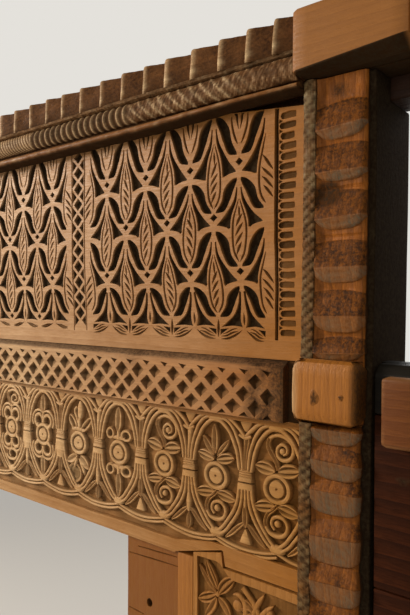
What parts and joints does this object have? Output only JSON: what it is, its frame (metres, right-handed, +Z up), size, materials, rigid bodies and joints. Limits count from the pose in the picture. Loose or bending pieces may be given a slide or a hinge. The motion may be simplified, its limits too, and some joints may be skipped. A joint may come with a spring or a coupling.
{
  "type": "carved timber doorway screen",
  "caption": "Carved cedar facade screen: tulip-carved panel, diamond lattice rail and medallion arcade over an open doorway, between scalloped posts and plain plank wings.",
  "frame": {"origin": "middle of the underside of the sill, below the face of the carved boards", "axes": "+Z up, +X along the facade to the viewer's right, -Y out of the carved front towards the viewer"},
  "size_m": [3.192, 0.169, 2.163],
  "materials": {
    "cedar_carved": "carved and worn, unvarnished cedar",
    "cedar_lattice": "carved, darker worn cedar",
    "cedar_beam": "hewn and carved cedar, stained dark along the cogs",
    "cedar_post": "adze-cut cedar, weathered grey on its facets",
    "cedar_plain": "planed cedar, oiled by handling",
    "cedar_plank": "old reddish planks, hand planed",
    "cedar_dark": "rough-hewn cedar, darkened by smoke and age"
  },
  "bodies": {
    "root": {"sill": "cedar_dark", "post_inner_left": "cedar_post", "post_inner_right": "cedar_post", "post_outer_left": "cedar_post", "post_outer_right": "cedar_post", "front_beam_middle": "cedar_beam", "front_beam_left": "cedar_beam", "front_beam_right": "cedar_beam", "rear_plate": "cedar_dark", "tulip_panel": "cedar_carved", "lattice_rail": "cedar_lattice", "arcade_board": "cedar_carved", "jamb_plain_left": "cedar_plain", "jamb_plain_right": "cedar_plain", "jamb_fillet_left": "cedar_plain", "jamb_fillet_right": "cedar_plain", "jamb_carved_left": "cedar_carved", "jamb_carved_right": "cedar_carved", "wing_cap_left": "cedar_plank", "wing_cap_right": "cedar_plank", "wing_girt_left": "cedar_plain", "wing_girt_right": "cedar_plain", "wing_plank_left_1": "cedar_plank", "wing_plank_left_2": "cedar_plank", "wing_plank_left_3": "cedar_plank", "wing_plank_left_4": "cedar_plank", "wing_plank_left_5": "cedar_plank", "wing_plank_left_6": "cedar_plank", "wing_plank_right_1": "cedar_plank", "wing_plank_right_2": "cedar_plank", "wing_plank_right_3": "cedar_plank", "wing_plank_right_4": "cedar_plank", "wing_plank_right_5": "cedar_plank", "wing_plank_right_6": "cedar_plank"}
  },
  "joints": []
}
